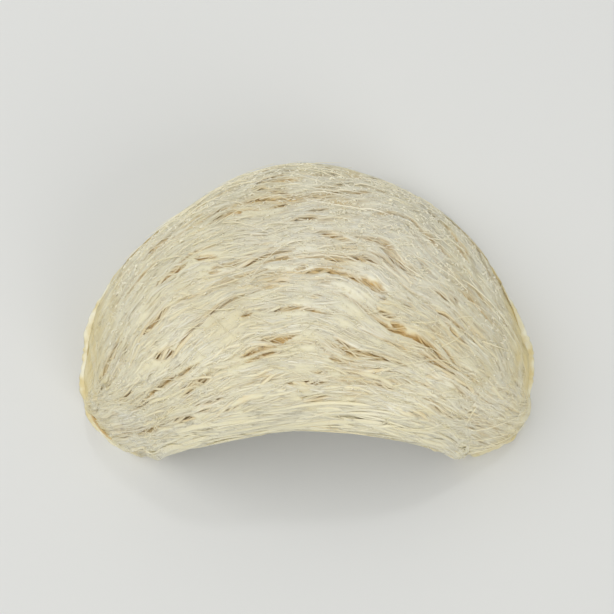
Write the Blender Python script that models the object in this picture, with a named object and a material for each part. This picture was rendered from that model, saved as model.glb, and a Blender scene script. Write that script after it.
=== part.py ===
"""An edible swiftlet nest: one half cup of hardened strands, cut off its wall and lying on the cut.

The cup is a lemon-shaped lump with its two poles at the feet, cut flat at the wall and hollowed out.
Its strands run from foot to foot like the meridians of that lemon, in ribs with slits between them.
Metres, +Z up and away from the wall, +X from foot to foot, -Y towards the open rim.
"""

import math

import bmesh
import bpy
import numpy as np
from mathutils import Matrix, Vector

# Driving dimensions of the cup
LENGTH = 0.0705  # foot tip to foot tip, without the flange
REACH = 0.0335  # along the wall, from the rim back to the bottom of the cup
DEPTH = 0.0342  # from the feet's own axis out to the crown
RIM_ROLL = 0.0160  # how far the rolled rim stands in front of the crown
FEET_FORWARD = 0.0032  # how far the two feet come forward of the middle
AXIS_BELOW_WALL = 0.0032  # the feet's axis lies this far inside the wall

# Thickness of the cup's wall
FOOT_THICK = 0.0100
EDGE_THICK = 0.0070
CROWN_THICK = 0.0052

# Form of the plan and the ends, and of the rolled rim, as powers
SQUARE = 2.15
BLUNT = 0.88
ROLL_POWER = 0.72

# Flange of strands that had spread over the wall round the cut
FLARE = 0.0013
FLARE_HEIGHT = 0.0028

# Slow forms, as waves: size, waves along the cup, waves across it and phase, the last three in radians
SWELL = (
    (0.0004, 1.4, 1.7, 0.0),
    (0.0004, 1.4, -1.7, -1.8),
    (0.0005, 4.1, -2.2, 1.3),
    (0.0004, 6.7, 3.9, 4.0),
)  # bulges and dents of a hand-sized natural thing, in metres
WANDER = ((0.020, 3.0, 7.0, 0.0), (0.011, 7.1, -9.0, 2.0))  # of a strand, as a share of the width
WEB = ((0.00022, 18.0, -5.0, 0.57), (0.00022, 8.0, 13.0, -0.57))  # lumps of the hollow's lining, in metres
HOLLOW_SWELL = 0.6  # the hollow follows the outside's bulges only in part
HOLLOW_SHIFT = (1.0, 2.0)  # and lags behind them, in radians along and around
END_GROWTH = 0.5  # share of a bulge that goes into the cup's length

# Relief of the strands
RIB_COUNT = 21
RIB_HEIGHT = 0.00040
RIM_RIB_COUNT = 6
RIM_RIB_HEIGHT = 0.00035
RIM_RIB_TWIST = 2.0
RIM_BLEND = 0.04  # the rim's ribs take over from the outside's within this share of the width
FADE_START = 0.16  # the relief starts where the sine of the angle along the cup is this
FADE_END = 0.61  # and is whole where it is this

# Slits between the strands
SLIT_COUNT = 32
SLIT_DEPTH = 0.0016
SLIT_LENGTH = 0.16  # half length, as a share of a strand
SLIT_WIDTH = 0.016  # half width, as a share of the way from rim to wall edge
SHORTEST_SLIT = 0.55  # as a share of the longest
LENGTH_TURN = 5.0  # radians from slit to slit, over which their lengths vary
SLITS_FROM_FOOT = 0.14  # as a share of a strand
SLIT_ROWS = (0.05, 0.85)  # first and last row, as a share of the width

# Where the strands lie round the cup, in degrees from the wall at the cup's bottom
WALL_ANGLE = -8.0
RIM_ANGLE = 96.0

# Mesh of the lump: columns run from foot to foot, rings run across
COLUMNS = 144
OUTER_COLUMNS = 108
RIM_COLUMNS = 24
RINGS = 32
HOLLOW_COLUMNS = 60
HOLLOW_RINGS = 28

GOLDEN_RATIO = (1 + math.sqrt(5)) / 2


def strand_material():
    """Dried strands: cream, a little translucent, with a soft gloss."""
    material = bpy.data.materials.new("dried_strands")
    material.use_nodes = True
    shader = material.node_tree.nodes["Principled BSDF"]
    shader.inputs["Base Color"].default_value = (0.65, 0.60, 0.42, 1.0)
    shader.inputs["Roughness"].default_value = 0.42
    shader.inputs["Metallic"].default_value = 0.0
    return material


def nest_angle(turn):
    """Turns an even share of the way round the sphere into an angle round the cup, finer on the outside."""
    outer_end = OUTER_COLUMNS / COLUMNS
    rim_end = (OUTER_COLUMNS + RIM_COLUMNS) / COLUMNS
    knots = [0.0, outer_end, rim_end, 1.0]
    angles = [WALL_ANGLE, RIM_ANGLE, 180.0 + WALL_ANGLE, 360.0 + WALL_ANGLE]
    return np.radians(np.interp(turn, knots, angles))


def wave_sum(waves, along, across):
    """The sum of sine waves that run at their own slant over the two angles."""
    return sum(size * np.sin(a * along + b * across + phase) for size, a, b, phase in waves)


def slits(share, across):
    """Lens-shaped openings between the strands, 0 away from them and 1 at their deepest."""
    deepest = np.zeros_like(share)
    first_row, last_row = SLIT_ROWS
    for k in range(SLIT_COUNT):
        middle = SLITS_FROM_FOOT + (1.0 - 2 * SLITS_FROM_FOOT) * ((k * GOLDEN_RATIO) % 1.0)
        row = first_row + (last_row - first_row) * (k + 0.5) / SLIT_COUNT
        half = SLIT_LENGTH * (SHORTEST_SLIT + (1.0 - SHORTEST_SLIT) * math.sin(LENGTH_TURN * k) ** 2)
        gap = ((share - middle) / half) ** 2 + ((across - row) / SLIT_WIDTH) ** 2
        deepest = np.maximum(deepest, np.clip(1.0 - gap, 0.0, 1.0))
    return deepest


def relief(along, around):
    """Ribs of strands and the slits between them, in metres, fading out towards the feet.

    The rolled rim has its own broader ribs, which take over where the outside's ribs end.
    """
    share = along / math.pi
    across = (math.radians(RIM_ANGLE) - around) / math.radians(RIM_ANGLE - WALL_ANGLE)
    strayed = across + wave_sum(WANDER, along, across)
    ribs = np.cos(2 * math.pi * RIB_COUNT * strayed) * RIB_HEIGHT
    down_the_rim = (around - math.radians(RIM_ANGLE)) / math.radians(180.0 - RIM_ANGLE)
    rim_ribs = np.cos(2 * math.pi * RIM_RIB_COUNT * down_the_rim + RIM_RIB_TWIST * share) * RIM_RIB_HEIGHT
    outside = np.clip((across + RIM_BLEND) / (2 * RIM_BLEND), 0.0, 1.0)
    both = (ribs - SLIT_DEPTH * slits(share, strayed)) * outside + rim_ribs * (1.0 - outside)
    return both * np.clip((np.sin(along) - FADE_START) / (FADE_END - FADE_START), 0.0, 1.0)


def lemon_point(along, around, half_length, reach, depth, roll):
    """A point of the lemon shape: along runs from foot to foot and around from the cup's bottom to its rim.

    In x it is a cosine. Across it is a circle whose radius falls to nothing at the poles, stretched to
    reach behind, to roll in front and to depth above, with that front squared off for the rolled rim.
    """
    girth = np.clip(1.0 - np.abs(np.cos(along)) ** SQUARE, 0.0, 1.0) ** (BLUNT / 2)
    sine, cosine = np.sin(around), np.cos(around)
    behind = cosine > 0
    rise = np.where(behind, sine, np.sign(sine) * np.abs(sine) ** ROLL_POWER)
    x = -half_length * np.cos(along)
    y = np.where(behind, reach, roll) * cosine * girth
    z = np.where(sine > 0, depth, 2 * AXIS_BELOW_WALL) * rise * girth
    y = y - FEET_FORWARD * (x / half_length) ** 2
    return np.stack([x, y, z - AXIS_BELOW_WALL], axis=-1)


def outward(along, around):
    """The direction in which a bulge grows: straight away from the line between the feet."""
    lift = np.abs(np.sin(along))
    return np.stack([-END_GROWTH * np.cos(along), lift * np.cos(around), lift * np.sin(around)], axis=-1)


def flare_out(points):
    """Spreads the skin outwards over the wall, most at the cut and dying away above it."""
    height = np.clip(points[:, 2], 0.0, None)
    spread = FLARE * np.exp(-height / FLARE_HEIGHT)
    middle = np.array([0.0, REACH / 3])
    away = points[:, :2] - middle
    away /= np.linalg.norm(away, axis=1, keepdims=True)
    points[:, :2] += away * spread[:, None]
    return points


def sphere_mesh(name, columns, rings):
    """A closed sphere with its poles on Z, and the angles of its points: along from pole to pole, and turn."""
    sphere = bmesh.new()
    bmesh.ops.create_uvsphere(sphere, u_segments=columns, v_segments=rings, radius=1.0)
    mesh = bpy.data.meshes.new(name)
    sphere.to_mesh(mesh)
    sphere.free()
    flat = np.empty(len(mesh.vertices) * 3)
    mesh.vertices.foreach_get("co", flat)
    points = flat.reshape(-1, 3)
    along = np.arccos(np.clip(points[:, 2], -1.0, 1.0))
    turn = (np.arctan2(points[:, 1], points[:, 0]) / (2 * math.pi)) % 1.0
    return mesh, along, turn


def set_points(mesh, points):
    mesh.vertices.foreach_set("co", points.ravel())
    mesh.update()
    shape = bmesh.new()
    shape.from_mesh(mesh)
    bmesh.ops.recalc_face_normals(shape, faces=shape.faces)
    shape.to_mesh(mesh)
    shape.free()


def add_object(name, mesh, collection):
    piece = bpy.data.objects.new(name, mesh)
    collection.objects.link(piece)
    return piece


def lump(collection):
    """The whole outside of the cup with its ribs and slits, still solid."""
    mesh, along, turn = sphere_mesh("nest", COLUMNS, RINGS)
    around = nest_angle(turn)
    points = lemon_point(along, around, LENGTH / 2, REACH, DEPTH, RIM_ROLL)
    growth = wave_sum(SWELL, along, around) + relief(along, around)
    points = points + outward(along, around) * growth[:, None]
    set_points(mesh, flare_out(points))
    return add_object("nest", mesh, collection)


def hollow(collection):
    """The space inside the cup, a smaller lemon that comes out through the rim and through the wall."""
    mesh, along, turn = sphere_mesh("hollow", HOLLOW_COLUMNS, HOLLOW_RINGS)
    around = 2 * math.pi * turn
    half_length = LENGTH / 2 - FOOT_THICK
    reach = REACH - EDGE_THICK
    depth = DEPTH - CROWN_THICK
    points = lemon_point(along, around, half_length, reach, depth, reach)
    bulge = wave_sum(SWELL, along + HOLLOW_SHIFT[0], around + HOLLOW_SHIFT[1])
    growth = HOLLOW_SWELL * bulge + wave_sum(WEB, along, around)
    points = points + outward(along, around) * growth[:, None]
    below = points[:, 2] < 0
    points[below, 2] -= AXIS_BELOW_WALL
    set_points(mesh, points)
    return add_cutter("hollow", mesh, collection)


def wall_side(collection):
    """A block that fills everything behind the wall's face, to cut the feet and the back edge flat."""
    side = 3 * LENGTH
    block = bmesh.new()
    bmesh.ops.create_cube(block, size=side)
    bmesh.ops.translate(block, verts=block.verts, vec=Vector((0.0, 0.0, -side / 2)))
    mesh = bpy.data.meshes.new("wall_side")
    block.to_mesh(mesh)
    block.free()
    return add_cutter("wall_side", mesh, collection)


def add_cutter(name, mesh, collection):
    cutter = add_object(name, mesh, collection)
    cutter.hide_render = True
    cutter.display_type = "WIRE"
    return cutter


def cut_away(piece, cutter):
    cut = piece.modifiers.new(cutter.name, "BOOLEAN")
    cut.operation = "DIFFERENCE"
    cut.object = cutter


def settle(piece):
    """Keeps the cut shape as the piece's own mesh, centred over the middle of what it rests on."""
    bpy.context.view_layer.update()
    evaluated = piece.evaluated_get(bpy.context.evaluated_depsgraph_get())
    mesh = bpy.data.meshes.new_from_object(evaluated)
    flat = np.empty(len(mesh.vertices) * 3)
    mesh.vertices.foreach_get("co", flat)
    points = flat.reshape(-1, 3)
    low, high = points.min(axis=0), points.max(axis=0)
    middle = (low + high) / 2
    mesh.transform(Matrix.Translation((-middle[0], -middle[1], -low[2])))
    mesh.shade_smooth()
    mesh.set_sharp_from_angle(angle=math.radians(50))
    piece.modifiers.clear()
    piece.data = mesh
    return piece


def main():
    for old in list(bpy.data.objects):
        bpy.data.objects.remove(old)
    parts = bpy.data.collections.new("edible_birds_nest")
    cutters = bpy.data.collections.new("cutters")
    bpy.context.scene.collection.children.link(parts)
    bpy.context.scene.collection.children.link(cutters)
    nest = lump(parts)
    cut_away(nest, hollow(cutters))
    cut_away(nest, wall_side(cutters))
    settle(nest)
    nest.data.materials.append(strand_material())


main()
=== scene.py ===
"""An edible swiftlet nest: a half cup of dried strands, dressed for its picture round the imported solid.

A smooth skin is worked out from the cup's own formula. A solid body of fused strands lies just under it,
and thousands of single strands lie in and on that body: along the outside, round the rim and as a loose
net inside the hollow. It is laid out as an add-on, and run as a script it makes everything in order.
Metres, +Z up and away from the wall that the nest was cut from, -Y towards the open rim.
"""

import math

import bpy
import numpy as np
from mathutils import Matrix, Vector


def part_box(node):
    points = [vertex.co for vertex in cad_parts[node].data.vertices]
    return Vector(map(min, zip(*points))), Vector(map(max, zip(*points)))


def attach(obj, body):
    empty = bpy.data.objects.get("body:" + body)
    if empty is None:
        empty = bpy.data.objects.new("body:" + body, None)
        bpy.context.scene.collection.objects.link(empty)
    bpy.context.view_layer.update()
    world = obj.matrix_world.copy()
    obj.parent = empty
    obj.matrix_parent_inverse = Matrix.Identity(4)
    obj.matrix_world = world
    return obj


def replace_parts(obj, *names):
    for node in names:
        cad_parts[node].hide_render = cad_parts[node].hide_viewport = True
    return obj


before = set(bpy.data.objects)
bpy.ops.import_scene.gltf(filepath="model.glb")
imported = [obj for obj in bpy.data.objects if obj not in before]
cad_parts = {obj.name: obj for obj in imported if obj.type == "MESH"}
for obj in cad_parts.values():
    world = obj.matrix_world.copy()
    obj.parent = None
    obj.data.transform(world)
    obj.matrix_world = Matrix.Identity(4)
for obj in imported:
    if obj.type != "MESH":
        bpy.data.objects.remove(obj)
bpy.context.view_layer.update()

bl_info = {
    "name": "Edible Swiftlet Nest",
    "version": (1, 0, 0),
    "blender": (4, 5, 0),
    "location": "View3D > Sidebar > Nest",
    "description": "Makes a half cup of dried strands with its net inside, and a plain stage for it",
    "category": "Add Mesh",
}

NEST_BOX = np.array(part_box("nest"))

MM = 0.001

# Form of the cup, as powers and slow waves: size, waves along the cup, waves across it, phase
SQUARE = 2.15
BLUNT = 0.88
ROLL_POWER = 0.72
SWELL = (
    (0.0004, 1.4, 1.7, 0.0),
    (0.0004, 1.4, -1.7, -1.8),
    (0.0005, 4.1, -2.2, 1.3),
    (0.0004, 6.7, 3.9, 4.0),
)
BOW = 0.40
WANDER = (
    (0.020, 3.0, 7.0, 0.0),
    (0.011, 7.1, -9.0, 2.0),
    (0.0065, 15.0, -16.0, 1.0),
    (0.0040, 25.0, 23.0, 0.5),
)
WEB = ((0.00022, 18.0, -5.0, 0.57), (0.00022, 8.0, 13.0, -0.57))
HOLLOW_SWELL = 0.6
HOLLOW_SHIFT = (1.0, 2.0)
END_GROWTH = 0.5
FLARE = 1.3 * MM
FLARE_HEIGHT = 2.8 * MM

# Where the strands lie round the cup, from the wall at the cup's bottom to the rim
WALL_ANGLE = math.radians(-8.0)
RIM_ANGLE = math.radians(96.0)

# The skin's grid: rows from foot to foot, columns round the section in four parts
ROWS = 280
ROW_NUMBERS = np.arange(ROWS)
OUTER = 172
FRONT = 46
INNER = 108
UNDER = 24
LIP = OUTER + FRONT
COLUMNS = LIP + INNER + UNDER
# How many columns past the lip a strand may wrap into the hollow
WRAP = 9
SMOOTH_COLUMNS = 2.6
SMOOTH_ROWS = 2.2

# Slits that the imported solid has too
SLIT_COUNT = 32
SLIT_LENGTH = 0.16
SHORTEST_SLIT = 0.55
LENGTH_TURN = 5.0
SLITS_FROM_FOOT = 0.14
SLIT_ROWS = (0.05, 0.85)
GOLDEN_RATIO = (1 + math.sqrt(5)) / 2

# Small slits: how many, and the least and most of their middle, half length, strand and half width
SMALL_SLITS = 188
SMALL_SLIT_RANGES = ((0.12, 0.88), (0.008, 0.034), (-0.36, 0.92), (0.0050, 0.0105))

# Fused ribbons, broad to narrow: seed, weight, waves along the cup, where they start, waves across it
RIBBONS = ((10, 0.45, 4.5, 5.0, 7.5), (11, 0.35, 8.0, 3.0, 16.0), (12, 0.20, 16.0, 9.0, 36.0))

# A strand counts as caught by a slit this deep, and as bent into a zigzag by a slope past this
CAUGHT = 0.4
STEEPEST = 0.7

# Layers of the outside's strands: name, seed, rings, height, spread of heights, lengths and bridging
LAYERS = (
    ("under_strands", 101, 12, -0.30 * MM, 0.10 * MM, (14 * MM, 40 * MM), 1.0),
    ("top_strands_1", 102, 13, -0.15 * MM, 0.07 * MM, (12 * MM, 38 * MM), 0.12),
    ("top_strands_2", 103, 12, -0.13 * MM, 0.07 * MM, (7 * MM, 24 * MM), 0.12),
    ("top_strands_3", 107, 9, -0.11 * MM, 0.08 * MM, (3 * MM, 13 * MM), 0.12),
)

# The skirts' usual width and thickness, and the waves of their edge: height, number and start
SKIRT_WIDTH = 0.75 * MM
SKIRT_THICK = 0.45 * MM
SKIRT_WAVES = ((0.55 * MM, 9.0, 0.5), (0.30 * MM, 24.0, 3.5), (0.18 * MM, 70.0, 9.5))

NOISE_SIZE = 256

# The whiter, airier part of the outside, seen from above: its middle and its size
MILK_SPOT = (7 * MM, 8 * MM)
MILK_SIZE = (14 * MM, 10 * MM)

# Painted shade on the underside of each strand: a golden colour for the shade there and the light that has
# passed through its neighbours
PAINTED_SHADE_BELOW = 0.38
# Edges of a strand sharper than this stay sharp
SHARP_ANGLE = math.radians(75)

# Dried gum: how it bends light, and how far red, green and blue go into it, as shares of a clear depth
GUM_IOR = 1.53
GUM_RADIUS = (1.0, 1.0, 0.92)

# Lamps: name, place, side, watts and colour
LIGHTS = (
    ("key_softbox", (-0.42, 0.10, 0.64), 0.60, 2.25, "#FFFDF8"),
    ("spark_lamp", (0.10, 0.30, 0.62), 0.05, 0.35, "#FFFFFF"),
    ("fill_softbox", (0.40, -0.55, 0.45), 0.40, 1.55, "#FFFCF6"),
)

CAMERA_ELEVATION = 82.0
CAMERA_ANGLE = 22.8
CAMERA_DISTANCE = 0.240


def size(name, description, default):
    """A property that holds a length."""
    return bpy.props.FloatProperty(name=name, description=description, default=default, unit="LENGTH")


def number(name, description, default):
    """A property that holds a whole number, 0 or more."""
    return bpy.props.IntProperty(name=name, description=description, default=default, min=0)


def colour(name, description, default):
    """A property that holds a colour as it looks on a screen, such as #EBE6C8."""
    return bpy.props.StringProperty(name=name, description=description, default=default)


class NestSizes(bpy.types.PropertyGroup):
    """Sizes of the cup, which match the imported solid."""

    length: size("Length", "Foot tip to foot tip", 70.5 * MM)
    reach: size("Reach", "Along the wall from rim to bottom", 33.5 * MM)
    depth: size("Depth", "From the feet's axis out to the crown", 34.2 * MM)
    rim_roll: size("Rim roll", "How far the rim stands forward", 16.0 * MM)
    feet_forward: size("Feet forward", "How far the feet come forward", 3.2 * MM)
    axis_below_wall: size("Axis below wall", "Depth of the feet's axis in the wall", 3.2 * MM)
    foot_thick: size("Foot thickness", "Thickness of the cup at its feet", 10.0 * MM)
    edge_thick: size("Edge thickness", "Thickness at the wall's edge", 7.0 * MM)
    crown_thick: size("Crown thickness", "Thickness at the crown", 5.2 * MM)


class NestStrands(bpy.types.PropertyGroup):
    """Sizes and numbers of the strands."""

    strand_width: size("Strand width", "Usual width of a single strand", 0.36 * MM)
    ribbon_height: size("Ribbon height", "Height of the fused ribbons", 1.4 * MM)
    ridge_height: size("Ridge height", "Height of the fine ridges", 0.28 * MM)
    slit_depth: size("Slit depth", "Depth of the slits between ribbons", 0.8 * MM)
    top_count: number("Top strands", "Strands in the outside's upper layers", 10300)
    under_count: number("Under strands", "Strands in the outside's lowest layer", 1500)
    rim_count: number("Rim strands", "Strands along the rim", 340)
    net_count: number("Net strands", "Strands of the net inside", 2000)
    loose_count: number("Loose fibres", "Thin fibres that stand off the outside", 260)
    curl_count: number("Curls", "Short curls on the outside, most in its airy part", 4200)


class NestColours(bpy.types.PropertyGroup):
    """Colours of the dried strands and the floor, as they look on a screen."""

    cream: colour("Cream", "Strands seen in the light", "#EBE6C8")
    milk: colour("Milk", "Whiter patches with more air in them", "#F1EFDB")
    # Painted shade: this golden colour stands for the shade in the depths and the light scattered out of them
    gold_tone_and_painted_shade: colour("Gold", "Depths between the strands", "#DABC80")
    tan: colour("Tan", "Thick, clear feet", "#DCCD98")
    floor: colour("Floor", "Plain pale floor", "#DADCDD")


def wave_sum(waves, along, across):
    """The sum of sine waves that run at their own slant over the two angles."""
    return sum(size * np.sin(a * along + b * across + phase) for size, a, b, phase in waves)


def noise(seed, x, y):
    """Smooth noise from -1 to 1: random values at whole-number points, eased from one to the next."""
    table = np.random.default_rng(seed).uniform(-1.0, 1.0, (NOISE_SIZE, NOISE_SIZE))
    left, low = np.floor(x).astype(int), np.floor(y).astype(int)
    fx, fy = x - left, y - low
    fx, fy = fx * fx * (3 - 2 * fx), fy * fy * (3 - 2 * fy)
    left, low = left % NOISE_SIZE, low % NOISE_SIZE
    right, high = (left + 1) % NOISE_SIZE, (low + 1) % NOISE_SIZE
    first = table[left, low] * (1 - fx) + table[right, low] * fx
    second = table[left, high] * (1 - fx) + table[right, high] * fx
    return first * (1 - fy) + second * fy


def smooth_step(value, start, end):
    """0 below start, 1 above end and an eased slope between them."""
    share = np.clip((value - start) / (end - start), 0.0, 1.0)
    return share * share * (3 - 2 * share)


def unit(vectors):
    """The vectors at length 1."""
    return vectors / np.maximum(np.linalg.norm(vectors, axis=-1, keepdims=True), 1e-12)


def girth(along):
    """Share of the full thickness at an angle along the cup: a superellipse that ends in nothing."""
    return np.clip(1.0 - np.abs(np.cos(along)) ** SQUARE, 0.0, 1.0) ** (BLUNT / 2)


def lemon_point(along, around, half_length, reach, depth, roll, sizes):
    """A point of the lemon shape that the cup is cut from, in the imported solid's own formula.

    In x it is a cosine. Across it is a circle whose radius falls to nothing at the poles, stretched to
    reach behind, to roll in front and to depth above, with that front squared off for the rolled rim.
    """
    sine, cosine = np.sin(around), np.cos(around)
    behind = cosine > 0
    rise = np.where(behind, sine, np.sign(sine) * np.abs(sine) ** ROLL_POWER)
    x = -half_length * np.cos(along) + 0 * around
    y = np.where(behind, reach, roll) * cosine * girth(along)
    z = depth * rise * girth(along)
    y = y - sizes.feet_forward * (x / half_length) ** 2
    return np.stack([x, y, z - sizes.axis_below_wall], axis=-1)


def outward(along, around):
    """The direction in which a bulge grows: straight away from the line between the feet."""
    lift = np.abs(np.sin(along))
    return np.stack([-END_GROWTH * np.cos(along) + 0 * around, lift * np.cos(around),
                     lift * np.sin(around)], axis=-1)


def flare_out(points, sizes):
    """Spreads the skin outwards over the wall, most at the cut and dying away above it."""
    height = np.clip(points[..., 2:3], 0.0, None)
    away = points[..., :2] - np.array([0.0, sizes.reach / 3])
    moved = points.copy()
    moved[..., :2] += unit(away) * FLARE * np.exp(-height / FLARE_HEIGHT)
    return moved


def blur(values, width, axis, closed):
    """Values averaged with their neighbours by a bell curve of that width, in grid steps."""
    reach = int(math.ceil(3 * width))
    padding = [(0, 0)] * values.ndim
    padding[axis] = (reach, reach)
    edge = {"mode": "wrap"} if closed else {"mode": "reflect", "reflect_type": "odd"}
    padded = np.pad(values, padding, **edge)
    steps = np.arange(-reach, reach + 1)
    weights = np.exp(-0.5 * (steps / width) ** 2)
    weights /= weights.sum()
    place = np.arange(values.shape[axis]) + reach
    return sum(w * np.take(padded, place + k, axis=axis) for k, w in zip(steps, weights))


class Skin:
    """The cup's smooth skin as a grid of points, closed round the section and ending in the two foot tips.

    Rows run from foot to foot, in even steps of the way over the crown and the hollow's roof together.
    Columns run from the wall edge over the crown to the rim, down its front, back through the hollow to
    the wall, and along the cut face to where they began.
    """

    def __init__(self, sizes):
        self.sizes = sizes
        self.half = sizes.length / 2
        self.hollow_half = self.half - sizes.foot_thick
        self.hollow_reach = sizes.reach - sizes.edge_thick
        self.hollow_depth = sizes.depth - sizes.crown_thick
        self.along = self._row_angles()
        self._section_angles()
        outside = self._outside()
        inside = self._inside(outside)
        points = np.concatenate([outside, inside, self._cut_face(outside, inside)], axis=1)
        points = blur(points, SMOOTH_COLUMNS, 1, True)
        points = blur(points, SMOOTH_ROWS, 0, False)
        points[..., 2] = np.clip(points[..., 2], 0.0, None)
        low, high = points.min(axis=(0, 1)), points.max(axis=(0, 1))
        points[..., :2] += ((NEST_BOX[0] + NEST_BOX[1]) / 2 - (low + high) / 2)[:2]
        self.points = points
        step_along = np.gradient(points, axis=0)
        step_round = (np.roll(points, -1, axis=1) - np.roll(points, 1, axis=1)) / 2
        self.normals = unit(np.cross(step_round, step_along))
        self.row_length = np.linalg.norm(step_along, axis=-1)
        self.column_length = np.linalg.norm(step_round, axis=-1)

    def _hollow_girth(self, x):
        """Girth of the hollow at a distance x from the middle, nothing where there is no hollow."""
        return np.clip(1.0 - np.abs(x / self.hollow_half) ** SQUARE, 0.0, 1.0) ** (BLUNT / 2)

    def _row_angles(self):
        """The rows' angles along the cup, at even steps of the path over the crown and the roof."""
        sizes = self.sizes
        tip_girth = sizes.axis_below_wall / sizes.depth
        tip = math.acos((1 - tip_girth ** (2 / BLUNT)) ** (1 / SQUARE)) * 1.02
        fine = np.linspace(tip, math.pi - tip, 6000)
        x = -self.half * np.cos(fine)
        crown = sizes.depth * girth(fine)
        roof = np.maximum(self.hollow_depth * self._hollow_girth(x), sizes.axis_below_wall)
        steps = np.hypot(np.diff(x), np.diff(crown)) + 0.6 * np.abs(np.diff(roof))
        path = np.concatenate([[0.0], np.cumsum(steps)])
        return np.interp(np.linspace(0.0, path[-1], ROWS), path, fine)

    def _section_angles(self):
        """For each row, where its section leaves the wall, meets the rim's lip and meets the wall again."""
        sizes, along = self.sizes, self.along
        below = sizes.axis_below_wall
        thick = sizes.depth * girth(along)
        self.x = -self.half * np.cos(along)
        self.wall_around = np.arcsin(np.clip(below / thick, 0.0, 1.0))
        wall_front = math.pi - np.arcsin(np.clip(below / thick, 0.0, 1.0) ** (1 / ROLL_POWER))
        hollow = self._hollow_girth(self.x)
        self.open = self.hollow_depth * hollow > below * 1.001
        hollow = np.where(self.open, hollow, below / self.hollow_depth)
        back = sizes.feet_forward * (self.x / self.hollow_half) ** 2
        lip = np.full_like(along, math.radians(130.0))
        for _ in range(6):
            y = sizes.rim_roll * np.cos(lip) * girth(along) - sizes.feet_forward * (self.x / self.half) ** 2
            cosine = np.clip((y + back) / (self.hollow_reach * hollow), -0.99, -0.001)
            roof = self.hollow_depth * hollow * (1 - cosine ** 2) ** (ROLL_POWER / 2)
            lip = math.pi - np.arcsin(np.clip(roof / thick, 0.0, 1.0) ** (1 / ROLL_POWER))
        self.lip_around = np.where(self.open, np.minimum(lip, wall_front), wall_front)
        self.roof_front = np.arccos(cosine)
        self.roof_back = np.arcsin(np.clip(below / (self.hollow_depth * hollow), 0.0, 1.0))

    def _outside(self):
        """From the wall edge over the crown to the rim's inner lip: the lemon, its bulges and its flange."""
        rise = np.arange(OUTER) / OUTER
        roll = np.arange(FRONT) / FRONT
        wall, lip = self.wall_around[:, None], self.lip_around[:, None]
        front_start = np.minimum(RIM_ANGLE, lip)
        around = np.concatenate([wall + (front_start - wall) * rise,
                                 front_start + (lip - front_start) * roll], axis=1)
        along = self.along[:, None]
        sizes = self.sizes
        points = lemon_point(along, around, self.half, sizes.reach, sizes.depth, sizes.rim_roll, sizes)
        points = points + outward(along, around) * wave_sum(SWELL, along, around)[..., None]
        return flare_out(points, sizes)

    def _inside(self, outside):
        """From the lip back over the hollow's roof to the wall, and flat on it where there is no hollow."""
        share = np.arange(INNER) / INNER
        around = self.roof_front[:, None] + (self.roof_back - self.roof_front)[:, None] * share
        along = np.arccos(np.clip(-self.x / self.hollow_half, -1.0, 1.0))[:, None]
        points = lemon_point(along, around, self.hollow_half, self.hollow_reach, self.hollow_depth,
                             self.hollow_reach, self.sizes)
        shifted = wave_sum(SWELL, along + HOLLOW_SHIFT[0], around + HOLLOW_SHIFT[1])
        growth = HOLLOW_SWELL * shifted + wave_sum(WEB, along, around)
        points = points + outward(along, around) * growth[..., None]
        front, back = outside[:, -1], outside[:, 0]
        middle = -self.sizes.feet_forward * (self.x / self.hollow_half) ** 2
        inner_y = np.clip(middle, front[:, 1], back[:, 1])
        flat = np.stack([self.x[:, None] + 0 * share,
                         front[:, 1:2] + (inner_y - front[:, 1])[:, None] * share,
                         np.zeros_like(around)], axis=-1)
        return np.where(self.open[:, None, None], points, flat)

    def _cut_face(self, outside, inside):
        """The flat cut: straight from the hollow's foot back to the wall edge."""
        share = (np.arange(UNDER) / UNDER)[None, :, None]
        start, end = inside[:, -1:], outside[:, :1]
        line = start + (end - start) * (share + 1 / UNDER)
        line[..., 2] = 0.0
        return line

    def at(self, row, column, values=None):
        """The skin's values at fractional rows and columns, blended from the four points round them."""
        values = self.points if values is None else values
        row = np.clip(row, 0.0, ROWS - 1.001)
        low, left = np.floor(row).astype(int), np.floor(column).astype(int)
        fr, fc = row - low, column - left
        if values.ndim == 3:
            fr, fc = fr[..., None], fc[..., None]
        left, right = left % COLUMNS, (left + 1) % COLUMNS
        first = values[low, left] * (1 - fc) + values[low, right] * fc
        second = values[low + 1, left] * (1 - fc) + values[low + 1, right] * fc
        return first * (1 - fr) + second * fr

    def angle(self, row):
        """Angle along the cup at fractional rows."""
        return np.interp(row, ROW_NUMBERS, self.along)

    def edges(self, row):
        """Angles round the section of the wall edge and the lip at fractional rows."""
        return (np.interp(row, ROW_NUMBERS, edge) for edge in (self.wall_around, self.lip_around))

    def across(self, row, column):
        """Share of the way from the rim, 0, to the wall edge, about 1, and below 0 on the rim's front."""
        wall, lip = self.edges(row)
        around = np.where(column <= OUTER, wall + (RIM_ANGLE - wall) * column / OUTER,
                          RIM_ANGLE + (lip - RIM_ANGLE) * (column - OUTER) / FRONT)
        return (RIM_ANGLE - around) / (RIM_ANGLE - WALL_ANGLE)

    def column(self, row, across):
        """The column at that share of the way from the rim to the wall edge."""
        wall, lip = self.edges(row)
        around = RIM_ANGLE - across * (RIM_ANGLE - WALL_ANGLE)
        behind = OUTER * (around - wall) / np.maximum(RIM_ANGLE - wall, 0.05)
        ahead = OUTER + FRONT * (around - RIM_ANGLE) / np.maximum(lip - RIM_ANGLE, 0.05)
        return np.clip(np.where(around <= RIM_ANGLE, behind, ahead), 0.5, LIP + WRAP)


def straighten(along, across):
    """Turns a place across the cup into the strand that runs there."""
    return across + bow(along) * (1 - across) + wave_sum(WANDER, along, across)


def stray(along, strand):
    """Turns a strand into its place across the cup, undoing straighten by going round five times."""
    across = strand
    for _ in range(5):
        across = (strand - bow(along) - wave_sum(WANDER, along, across)) / (1 - bow(along))
    return across


def bow(along):
    """How far the strands lean towards the rim on their way to the feet, nothing in the cup's middle."""
    return BOW * np.cos(along) ** 2


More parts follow.
